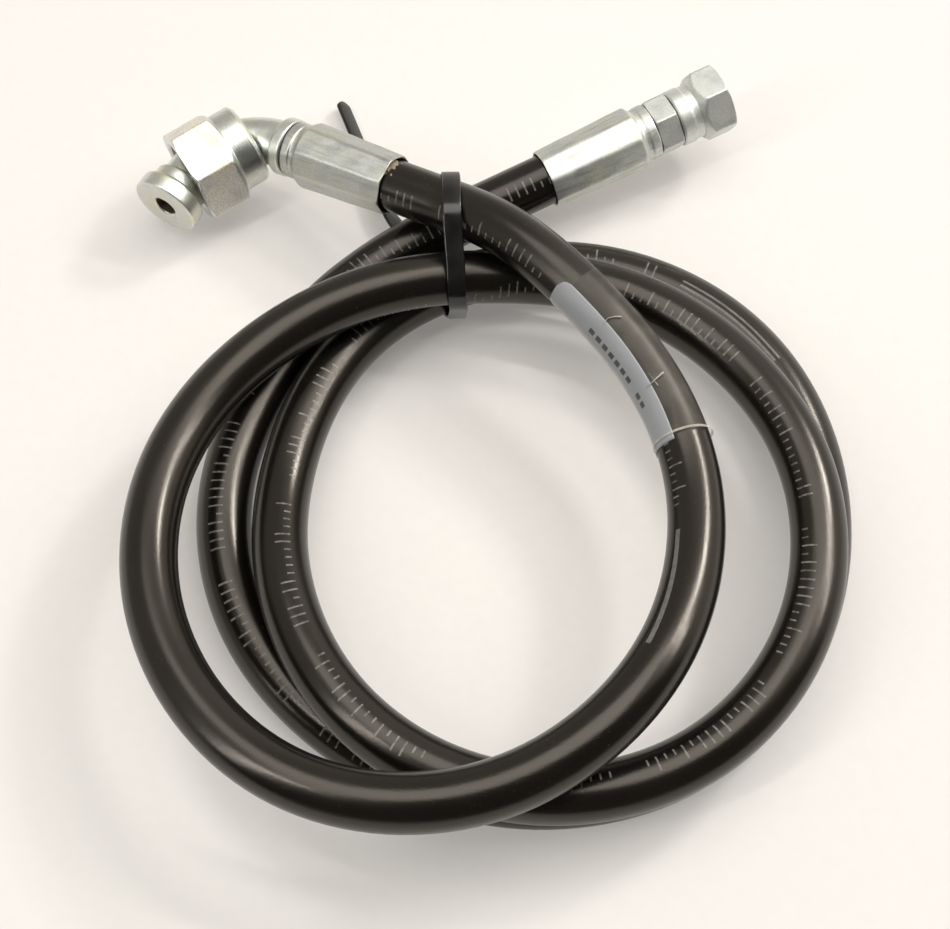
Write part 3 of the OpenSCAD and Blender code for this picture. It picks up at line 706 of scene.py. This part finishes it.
class BentFittingBuilder(bpy.types.Operator):
    """Nipple, bent tube, sealing sleeve and swivel nut of end A"""
    bl_idname = "hose.build_end_a"
    bl_label = "Bent fitting, end A"

    def execute(self, context):
        s = context.scene.fitting_settings
        zinc, tube_r = tuple(s.zinc), s.tube_od / MM / 2
        nipple = turned("nipple_a_turned", dense(rounded(
            barbed_tail() + [(NECK_R, COLLAR_START), (COLLAR_R - 0.3, COLLAR_START),
                             (COLLAR_R, COLLAR_START + 0.3)] + quarter(COLLAR_R - 1, COLLAR_END - 1, 1, 0)
            + [(tube_r, COLLAR_END), (tube_r, COLLAR_END - SOCKET), (TAIL_BORE_R, COLLAR_END - SOCKET)],
            0.15, 2), 0.8), sides=96)
        dress(nipple, zinc_plate("zinc_plated_turned_nipple", zinc, 0.3, 0.6 * MM, 0.3), "nipple_a",
              axes=AXES_A)
        dress(self.bent_tube(tube_r), zinc_plate("zinc_plated_bent_tube", zinc, 0.26, 3 * MM, 0.25),
              "elbow_tube", axes=AXES_A)

        sleeve = turned("sealing_sleeve", dense(rounded(
            [(FACE_BORE_R, TUBE_END), (tube_r, TUBE_END), (tube_r, SLEEVE_START)]
            + quarter(SLEEVE_R - 1, SLEEVE_START + 1, 1, -90) + [(SLEEVE_R, FLANGE_AT)]
            + quarter(FLANGE_R - 1.2, FLANGE_AT + 1.2, 1.2, -90)
            + [(FLANGE_R, FACE_AT - 0.3), (FLANGE_R - 0.3, FACE_AT), (FACE_BORE_R + 0.5, FACE_AT),
               (FACE_BORE_R, FACE_AT - 0.5)], 0.12, 2), 0.8), sides=120)
        bent = AXES_A @ Matrix.Translation((0, 0, CORNER_Z * MM)) @ Matrix.Rotation(-math.pi / 2, 4, "X")
        dress(sleeve, zinc_plate("zinc_plated_sealing_face", zinc, 0.27, 0.5 * MM, 0.4, warmth=1.5),
              "face_sleeve", axes=bent)
        # The bore's wall is painted dark brown: painted shade inside the hole
        refinish(sleeve, speckled("oiled_steel_bore", srgb("#463c30"), srgb("#6a5c49"), 0.35, 600, 0.05),
                 lambda middle: middle.xy.length < (FACE_BORE_R + 0.2) * MM)

        nut = self.nut(s.nut_a_size / MM / 2)
        axes = (AXES_A @ Matrix.Translation(NUT_A_AT * MM)
                @ Matrix.Rotation(math.radians(NUT_A_LEAN), 4, "X"))
        dress(nut, zinc_plate("zinc_plated_nut_a", zinc, 0.28, 0.8 * MM, 0.5), "swivel_nut_a", "nut_a",
              axes)
        # The collar is turned bright, and the flats keep the duller skin of drawn bar; their colour is
        # painted paler than the plating: painted light
        refinish(nut, zinc_plate("zinc_plated_drawn_flats", srgb("#ece9e2"), 0.5, 0.8 * MM, 0.8),
                 lambda middle: (middle.xy.length > (NUT_A_COLLAR_R + 0.3) * MM
                                 and (1.1 - NUT_A_HEX_LEN) * MM < middle.z < -0.6 * MM))
        return {"FINISHED"}

    def bent_tube(self, tube_r):
        """The tube from the nipple to the sleeve, slightly flattened in its bend."""
        turn = np.radians(np.arange(0, 91, 3))
        height = np.concatenate((np.linspace(COLLAR_END - SOCKET, BEND_START, 5)[:-1],
                                 BEND_START + ELBOW_R * np.sin(turn), np.full(5, CORNER_Z)))
        reach = np.concatenate((np.zeros(4), ELBOW_R - ELBOW_R * np.cos(turn),
                                np.linspace(ELBOW_R, TUBE_END, 6)[1:]))
        line = np.stack((np.zeros(len(reach)), reach, height), 1)
        across = np.tile((1.0, 0.0, 0.0), (len(line), 1))
        angles = np.arange(72) * 360 / 72
        ring = spokes(across, np.cross(unit(np.gradient(line, axis=0)), across), angles)
        bend = np.concatenate((np.zeros(4), turn, np.full(5, math.pi / 2)))
        oval = 1 - 0.012 * np.sin(2 * bend)[:, None] * np.abs(np.sin(np.radians(angles)))
        outer = line[:, None] + tube_r * oval[:, :, None] * ring
        inner = line[:, None] + ELBOW_BORE_R * ring
        return add_surface("bent_tube", np.concatenate((outer, inner[::-1])), True, True)

    def nut(self, half):
        """Nut A about its own axis, with its front face at zero and its collar behind the hexagon."""
        corner = half * HEX_CORNER
        collar_r, hole_r, relief_r, thread_r = NUT_A_COLLAR_R, NUT_A_HOLE_R, NUT_A_RELIEF_R, NUT_A_THREAD_R
        outline = [(corner - 1.2, 0), (thread_r + 0.9, 0), (thread_r, -0.7)] + thread_ridges(
            -9.0, 1.35, 6, thread_r, 0.75, (0, 0.3, 0.72, 0.84)) + [
            (relief_r, -9.3), (relief_r, 1.9 - NUT_A_LEN), (hole_r, 1.4 - NUT_A_LEN), (hole_r, -NUT_A_LEN),
            (collar_r - 1, -NUT_A_LEN), (collar_r, 1 - NUT_A_LEN), (collar_r, -NUT_A_HEX_LEN - 0.5),
            (corner - 1.2, 0.3 - NUT_A_HEX_LEN), (corner + 0.2, 1.2 - NUT_A_HEX_LEN),
            (corner + 0.2, -0.75)]
        return turned("swivel_nut_a_body", dense(rounded(outline, 0.25), 0.45), (6, NUT_A_TURN, half), 180)


class StraightFittingBuilder(bpy.types.Operator):
    """Stem and swivel nut of end B"""
    bl_idname = "hose.build_end_b"
    bl_label = "Straight fitting, end B"

    def execute(self, context):
        s = context.scene.fitting_settings
        zinc = tuple(s.zinc)
        corner = STEM_HEX_R * HEX_CORNER
        seat_r = NOSE_R - 0.8
        seat_depth = (seat_r - STEM_BORE_R) / math.tan(math.radians(SEAT_ANGLE))
        outline = barbed_tail() + [
            (NECK_R, STEM_HEX_START), (corner - 0.6, STEM_HEX_START), (corner + 0.1, STEM_HEX_START + 0.45),
            (corner + 0.1, STEM_HEX_END - 0.45), (corner - 0.6, STEM_HEX_END), (NECK_R, STEM_HEX_END + 0.1),
            (WAIST_R, STEM_HEX_END + 0.3), (WAIST_R, NOSE_START), (NOSE_R - 0.4, NOSE_START),
            (NOSE_R, NOSE_START + 0.5), (NOSE_R, NOSE_END - 0.4), (NOSE_R - 0.4, NOSE_END),
            (seat_r, NOSE_END), (STEM_BORE_R, NOSE_END - seat_depth), (STEM_BORE_R, NUT_B_START),
            (TAIL_BORE_R, NUT_B_START - 1)]
        stem = turned("stem_b_turned", dense(rounded(outline, 0.15, 2), 0.5), (6, END_B_TURN, STEM_HEX_R))
        dress(stem, zinc_plate("zinc_plated_stem_b", zinc, 0.42, 0.7 * MM, 0.5, warmth=0.4), "stem_b",
              axes=AXES_B)

        half = s.nut_b_size / MM / 2
        corner = half * HEX_CORNER
        neck_r, thread_r, hole_r = NUT_B_NECK_R, NUT_B_THREAD_R, NUT_B_HOLE_R
        outline = [
            (hole_r, NUT_B_START), (neck_r - 0.4, NUT_B_START), (neck_r, NUT_B_START + 0.4),
            (neck_r, NUT_B_START + 3.6), (neck_r - 0.3, NUT_B_START + 4.0),
            (neck_r - 0.3, NUT_B_HEX_START - 1.5), (neck_r, NUT_B_HEX_START - 1.5),
            (corner + 0.2, NUT_B_HEX_START + 0.9), (corner + 0.2, NUT_B_END - 0.75),
            (corner - 1, NUT_B_END), (thread_r + 0.8, NUT_B_END), (thread_r, NUT_B_END - 0.7)
        ] + thread_ridges(NUT_B_END - 6.3, 1.4, 4, thread_r, 0.7, (0, 0.35, 0.75, 0.85)) + [
            (NUT_B_RELIEF_R, NUT_B_END - 6.7), (NUT_B_RELIEF_R, NUT_B_START + 4.2),
            (hole_r, NUT_B_START + 4.2)]
        nut = turned("swivel_nut_b_body", dense(rounded(outline, 0.25), 0.45), (6, END_B_TURN, half), 180)
        dress(nut, zinc_plate("zinc_plated_nut_b", zinc, 0.45, 0.7 * MM, 0.4, warmth=0.4), "swivel_nut_b",
              "nut_b", AXES_B)
        return {"FINISHED"}


# ---------------------------------------------------------------- tie

# How far the band stands off towards +X of the coil's middle, by its angle round the bundle seen
# from +X: 0 is the far side, 90 the top
TIE_LEAN = ((-180, -9.2), (-135, -9.8), (-110, -13.0), (-80, -17.2), (-50, -16.8), (-20, -14.5),
            (20, -12.0), (60, -11.1), (100, -10.8), (140, -9.9), (180, -9.2))
# Where the band lies across the bundle, how much of it the band spans, and points round the band
TIE_AT, TIE_REACH, TIE_POINTS = -10.6, 3.0, 150
# Tail, from the head to its tip, from the coil's middle on the table, and how far it is rolled
TIE_TAIL = ((-17.5, 69.0, 2.2), (-22.5, 76.0, 3.0), (-27.5, 82.5, 3.6), (-31.0, 90.0, 3.2),
            (-34.3, 99.0, 2.8), (-38.6, 111.0, 2.5), (-42.9, 122.6, 2.3))
TIE_TAIL_ROLL = 44
HEAD_AT = np.array((-15.5, 67.5, 0.25))
HEAD_SIZE = np.array((7.0, 6.4, 4.0))
HEAD_TURN = 30


def evenly(outline, count):
    """Points an even way apart round a closed outline."""
    closed = np.concatenate((outline, outline[:1]))
    total = np.concatenate(([0], np.cumsum(np.linalg.norm(np.diff(closed, axis=0), axis=1))))
    at = np.arange(count) * total[-1] / count
    return np.stack([np.interp(at, total, column) for column in closed.T], -1)


def band_grid(line, width_dir, face_dir, width, thick):
    """Grid of a band with rounded edges along a line; its width may change along it."""
    edge = thick * 0.35
    section = []
    for across, face, start in ((1, 1, 0), (-1, 1, 90), (-1, -1, 180), (1, -1, 270)):
        for a in np.radians(np.arange(start, start + 91, 30)):
            section.append((0.5 * across, edge * (math.cos(a) - across),
                            face * (thick / 2 - edge) + edge * math.sin(a)))
    share, inset, height = np.array(section).T
    x = share * np.broadcast_to(width, len(line))[:, None] + inset
    return line[:, None] + x[:, :, None] * width_dir[:, None] + height[:, None] * face_dir[:, None]


class TieBuilder(bpy.types.Operator):
    """Cable tie round the four strands: band, head and tail"""
    bl_idname = "hose.build_tie"
    bl_label = "Cable tie"

    def execute(self, context):
        s = context.scene.tie_settings
        width, thick = s.width / MM, s.thickness / MM
        nylon = speckled("moulded_black_nylon", tuple(s.nylon), srgb("#12110f"), 0.14, 160, 0.02, 1.53)
        dress(self.band(width, thick), nylon, "cable_tie")
        carry(self.tail(width, thick), nylon)
        carry(self.head(), nylon)
        return {"FINISHED"}

    def band(self, width, thick):
        """The band, tight round the strands where they cross, and flat where it meets the table."""
        shell = hose_route().surface(HOSE_R + 0.05, np.arange(0, 360, 10)).reshape(-1, 3) - COIL_CENTRE
        near = shell[(np.abs(shell[:, 0] - TIE_AT) < TIE_REACH) & (shell[:, 1] > 20)]
        a = np.radians(np.arange(0, 360, 15))
        grown = near[:, None, 1:] + (thick / 2 + 0.1) * np.stack((np.cos(a), np.sin(a)), -1)[None]
        grown = grown.reshape(-1, 2)
        hull = grown[convex_hull_2d(grown.tolist())]
        loop = evenly(dense(np.roll(hull, -np.argmin(hull[:, 0]), 0), 0.8), TIE_POINTS)
        middle = (loop.max(0) + loop.min(0)) / 2
        angle = np.degrees(np.arctan2(*(loop - middle).T[::-1]))
        lean = np.interp(angle, *np.array(TIE_LEAN).T)
        line = np.concatenate((lean[:, None], loop), 1) + COIL_CENTRE
        for _ in range(3):
            line = (np.roll(line, 1, 0) + 2 * line + np.roll(line, -1, 0)) / 4
        heading = unit(np.roll(line, -1, 0) - np.roll(line, 1, 0))
        outward = line - (COIL_CENTRE + (0, *middle))
        outward[:, 0] = 0
        outward = unit(outward - (outward * heading).sum(1)[:, None] * heading)
        line[:, 2] = np.maximum(line[:, 2], thick / 2 + 0.02)
        grid = band_grid(line, np.cross(outward, heading), outward, width, thick)
        grid[:, :, 2] = np.maximum(grid[:, :, 2], 0.0)
        return add_surface("tie_band", grid, True, True)

    def tail(self, width, thick):
        """The tail, which rolls over as it leaves the head, and has a rounded tip."""
        way = Route(spline(COIL_CENTRE + np.array(TIE_TAIL), unit(np.array((-0.55, 0.83, 0.0))),
                           unit(np.array((-0.35, 0.94, 0.0))), 0.5))
        roll = np.clip((way.along - 6) / 14, 0, 1)[:, None] * TIE_TAIL_ROLL
        side = spokes(way.side, way.up, -roll)[:, 0]
        left = np.clip((way.along[-1] - way.along) / 1.9, 0, 1)
        taper = width * np.sqrt(np.clip(1 - (1 - left) ** 2, 0.12, 1))
        grid = band_grid(way.points, side, np.cross(way.heading, side), taper, thick)
        return add_surface("tie_tail", grid, wrap_cols=True, caps=True)

    def head(self):
        """The moulded head: a block with rounded edges and a slot for the band."""
        x, y, z = HEAD_SIZE / 2
        outline = dense(rounded([(-x, -z), (x, -z), (x, z), (-x, z)], 0.8, 4), 0.5)
        slot = dense(rounded([(-x * 0.66, -z * 0.3), (x * 0.66, -z * 0.3), (x * 0.66, z * 0.45),
                              (-x * 0.66, z * 0.45)], 0.2), 0.5)
        steps = np.linspace(0, 1, len(outline), endpoint=False)
        places = np.linspace(0, 1, len(slot) + 1)
        slot = np.stack([np.interp(steps, places, np.append(column, column[0])) for column in slot.T], -1)
        rows = [(outline * scale, depth) for scale, depth in (
            (0.94, -y), (0.985, 0.15 - y), (1.0, 0.45 - y), (1.0, y - 0.45), (0.985, y - 0.15), (0.94, y))]
        grid = [np.insert(row, 1, depth, axis=1) for row, depth in rows + [(slot, y), (slot, -y)]]
        head = add_surface("tie_head", np.array(grid), True, True)
        head.matrix_world = (Matrix.Translation(Vector(COIL_CENTRE + HEAD_AT + (0, 0, z)) * MM)
                             @ Matrix.Rotation(math.radians(HEAD_TURN), 4, "Z"))
        return head


# ---------------------------------------------------------------- marker

# Where the label and the sleeve start and end, in millimetres along the hose
LABEL_SPAN = (84.6, 137.0)
SLEEVE_SPAN = (87.5, 135.5)
SLEEVE_GAP, SLEEVE_WALL = 0.42, 0.18
# Folds in the sleeve: their greatest half width, then the length along the hose and the angle
# round it, from the thin end to the blunt one
FOLDS = ((0.34, ((100.3, 46), (100.0, 56), (99.6, 70), (100.6, 84), (101.6, 93))),
         (0.46, ((120.4, 48), (120.2, 58), (120.0, 68), (119.4, 86), (119.0, 97))),
         (0.13, ((117.0, 70), (118.4, 72), (120.0, 73), (121.6, 75))))


class MarkerBuilder(bpy.types.Operator):
    """The marker's printed film and the clear sleeve shrunk over it"""
    bl_idname = "hose.build_marker"
    bl_label = "Marker and sleeve"

    def execute(self, context):
        s = context.scene.marker_settings
        route = hose_route()
        dress(self.film(route), label_film(tuple(s.film), tuple(s.ink)), "marker_label")
        dress(self.sleeve(route), shrink_film(tuple(s.sleeve)), "clear_sleeve")
        milky = speckled("creased_film", srgb("#a5a198"), srgb("#bab6ac"), 0.5, 900, 0.05, 1.49)
        for number, (half_width, fold) in enumerate(FOLDS):
            piece = self.fold("sleeve_fold_%d" % (number + 1), route, np.array(fold, float), half_width)
            carry(piece, milky)
        return {"FINISHED"}

    def film(self, route):
        """The film, wrapped part of the way round, with rounded corners at its first end and
        shallow waves where it has lifted."""
        way = route.at(np.arange(*LABEL_SPAN, 0.8))
        along = way.along - way.along[0]
        angles = np.linspace(-24, 64, 28)
        cols = len(angles)
        cut = 1 - np.clip(along[:, None] / 3.0, 0, 1)
        spread = angles.mean() + (angles - angles.mean()) * (1 + np.sqrt(1 - cut ** 2)) / 2
        lift = 0.05 * np.sin(along / 2.9)[:, None] * np.sin(np.radians(angles * 4))
        outer = way.surface(HOSE_R + 0.2 + lift, spread)
        inner = way.surface(HOSE_R + 0.02, spread)

        def uv(i, j):
            j = j % (2 * cols)
            return np.stack((along[i] * MM, np.minimum(j, 2 * cols - 1 - j) / (cols - 1)), 1)

        grid = np.concatenate((outer, inner[:, ::-1]), 1)
        return add_surface("marker_film", grid, wrap_cols=True, uv=uv, caps=True)

    def sleeve(self, route):
        """The sleeve, with wrinkles round the inside of the bend and an end that stands open on the
        outside."""
        way = route.at(np.arange(*SLEEVE_SPAN, 0.7))
        along = way.along - way.along[0]
        z = along[:, None]
        wide = np.radians(np.arange(64) * 360 / 64)
        ripple = 0.035 * np.sin(z * 1.15 + 0.7 * np.sin(wide * 2)) * np.clip(np.cos(wide - 0.6), 0, 1) ** 2
        outward = np.clip(np.cos(wide - math.radians(165)), 0, 1) ** 2
        lip = 0.12 * np.exp(-z / 1.1) + np.exp(-(z[-1] - z) / 1.5) * (0.2 + 0.36 * outward)
        outer = HOSE_R + SLEEVE_GAP + ripple + lip
        # Beside each length along it, the place where the milky cut end starts
        end = (along[-1] - 0.7) * MM
        return hollow_tube("shrink_sleeve", way, outer, outer - SLEEVE_WALL, 64,
                           lambda ring, j: np.stack((along[ring] * MM, np.full(len(j), end)), 1))

    def fold(self, name, route, fold, half_width):
        """A thin raised fold of the film, along places on the sleeve, thin at its start and blunt
        at its end."""
        share = np.linspace(0, 1, 40)
        along, angle = (np.interp(share, np.linspace(0, 1, len(fold)), column) for column in fold.T)
        way = route.at(along)
        out = spokes(way.side, way.up, angle[:, None])[:, 0]
        line = way.points + (HOSE_R + SLEEVE_GAP) * out
        across = np.cross(unit(np.gradient(line, axis=0)), out)
        size = (0.02 + half_width * share ** 1.5) * np.sqrt(np.clip((1.01 - share) / 0.1, 0, 1))
        ring = spokes(0.8 * across, 1.5 * out, np.arange(0, 360, 45))
        return add_surface(name, line[:, None] + size[:, None, None] * ring, wrap_cols=True, caps=True)


# ---------------------------------------------------------------- stage

LAMP_COLOUR = (1.0, 0.985, 0.96)
SENSOR_MM, LENS_MM = 36.0, 68.32
LOOK_AT = Vector((-0.0015, -0.0046, 0.0))
TABLE_HALF = 4000.0


class StageBuilder(bpy.types.Operator):
    """Pale table, soft lamps and the camera"""
    bl_idname = "hose.build_stage"
    bl_label = "Stage"

    def execute(self, context):
        s = context.scene.stage_settings
        scene = context.scene
        scene.view_settings.view_transform = "Standard"
        ends = (-TABLE_HALF, TABLE_HALF)
        table = add_surface("table_top", np.array([[(x, y, 0.0) for x in ends] for y in ends]))
        table.data.materials.append(self.table_material(tuple(s.floor)))

        self.lamp("panel_above", (0.0, 0.15, 1.0), (0, 0, 0), (0.94, 0.7), 6.0)
        self.strip("strip_right", (0.5, 0.45, 1.0), (1.4, 0.17, 1.0), 0.05, 7.0)
        self.strip("lamp_right", (0.95, 0.89, 1.09), (1.11, 0.69, 1.09), 0.22, 10.0)
        self.strip("strip_left", (-0.47, -0.24, 1.0), (-2.4, -1.24, 1.0), 0.05, 11.0)
        self.world(scene)

        data = bpy.data.cameras.new("camera")
        data.sensor_width, data.lens = SENSOR_MM, LENS_MM
        data.clip_start, data.clip_end = 0.01, 20
        camera = bpy.data.objects.new("camera", data)
        scene.collection.objects.link(camera)
        camera.location = LOOK_AT + s.camera_distance * Vector(
            (0, -math.cos(s.camera_elevation), math.sin(s.camera_elevation)))
        camera.rotation_euler = (math.pi / 2 - s.camera_elevation, 0, 0)
        scene.camera = camera
        return {"FINISHED"}

    def lamp(self, name, place, rotation, size, power):
        """A rectangular lamp that lights the scene and shows in reflections, unseen by the camera."""
        data = bpy.data.lights.new(name, "AREA")
        data.shape, data.energy, data.color = "RECTANGLE", power, LAMP_COLOUR
        data.size, data.size_y = size
        lamp = bpy.data.objects.new(name, data)
        bpy.context.scene.collection.objects.link(lamp)
        lamp.location, lamp.rotation_euler = place, rotation
        lamp.visible_camera = False

    def strip(self, name, start, end, width, power):
        """A long narrow lamp between two points at one height, tilted towards the table's middle."""
        start, end = Vector(start), Vector(end)
        along = (end - start).normalized()
        back = (start + end) / 2
        back = (back - back.dot(along) * along).normalized()
        axes = Matrix((along, back.cross(along), back)).transposed()
        self.lamp(name, (start + end) / 2, axes.to_euler(), ((end - start).length, width), power)

    def world(self, scene):
        """The room that the pieces reflect: a pale half behind the table, brighter to the right, and
        a dark half on the camera's side. The camera itself sees a pale wall."""
        scene.world = bpy.data.worlds.new("pale_room")
        add = node_adder(scene.world)
        x, y, _ = add("SeparateXYZ", add("TexCoord").outputs["Generated"]).outputs
        left = add("Math", x, 0.0, operation="MINIMUM")
        edge = add("Math", left, -0.5, y, operation="MULTIPLY_ADD")
        pale = add("MapRange", edge, -0.12, 0.08, 0.0, 1.0, interpolation_type="SMOOTHSTEP")
        to_right = add("MapRange", x, -0.1, 0.35, 0.42, 0.85, interpolation_type="SMOOTHSTEP")
        level = add("Math", pale, to_right, 0.1, operation="MULTIPLY_ADD")
        room = add("Background", srgb("#f4eee2"), level)
        wall = add("Background", srgb("#f7f2ea"), 1.0)
        add("OutputWorld", add("MixShader", add("LightPath").outputs["Is Camera Ray"], room, wall))

    def table_material(self, colour):
        """Matt white laminate that keeps the soft shadows near the hose. The camera sees it fade to
        plain white further out, and reflections see it about a third white."""
        material, add = new_material("matt_white_laminate")
        solid = add("TexCoord").outputs["Object"]
        # Grain of 3 mm
        grain = add("TexNoise", Vector=solid, Scale=300, Detail=2)
        shade = add("ValToRGB", grain, stops=[(0.3, toned(colour, 0.74)), (0.7, toned(colour, 0.76))])
        distance = add("VectorMath", solid, operation="LENGTH").outputs["Value"]
        fade = add("MapRange", distance, 0.0, 0.45, 0.2, 1.0, interpolation_type="SMOOTHSTEP")
        rays = add("LightPath").outputs
        mirrored = add("Math", rays["Is Glossy Ray"], rays["Is Transmission Ray"], operation="MAXIMUM")
        seen = add("Math", add("Math", rays["Is Camera Ray"], fade, operation="MULTIPLY"),
                   add("Math", mirrored, 0.32, operation="MULTIPLY"), operation="MAXIMUM")
        matt, white = add("BsdfDiffuse", shade), add("Emission", colour, 1.0)
        add("OutputMaterial", add("MixShader", seen, matt, white))
        return material


# ---------------------------------------------------------------- panel and main

BUILDERS = (HoseBuilder, ShellBuilder, BentFittingBuilder, StraightFittingBuilder, TieBuilder,
            MarkerBuilder, StageBuilder)
SETTINGS = {"hose_settings": HoseSettings, "fitting_settings": FittingSettings,
            "tie_settings": TieSettings, "marker_settings": MarkerSettings,
            "stage_settings": StageSettings}


class HOSE_PT_panel(bpy.types.Panel):
    """Lists the pieces and their settings"""
    bl_label = "Hydraulic hose assembly"
    bl_idname = "HOSE_PT_panel"
    bl_space_type = "VIEW_3D"
    bl_region_type = "UI"
    bl_category = "Hose"

    def draw(self, context):
        for builder in BUILDERS:
            self.layout.operator(builder.bl_idname)
        for name, group in SETTINGS.items():
            box = self.layout.box()
            for key in group.__annotations__:
                box.prop(getattr(context.scene, name), key)


def register():
    for made in (*SETTINGS.values(), *BUILDERS, HOSE_PT_panel):
        bpy.utils.register_class(made)
    for name, group in SETTINGS.items():
        setattr(bpy.types.Scene, name, bpy.props.PointerProperty(type=group))


def unregister():
    for name in SETTINGS:
        delattr(bpy.types.Scene, name)
    for made in (HOSE_PT_panel, *reversed(BUILDERS), *SETTINGS.values()):
        bpy.utils.unregister_class(made)


def main():
    register()
    for builder in BUILDERS:
        group, name = builder.bl_idname.split(".")
        getattr(getattr(bpy.ops, group), name)()


if __name__ == "__main__":
    main()
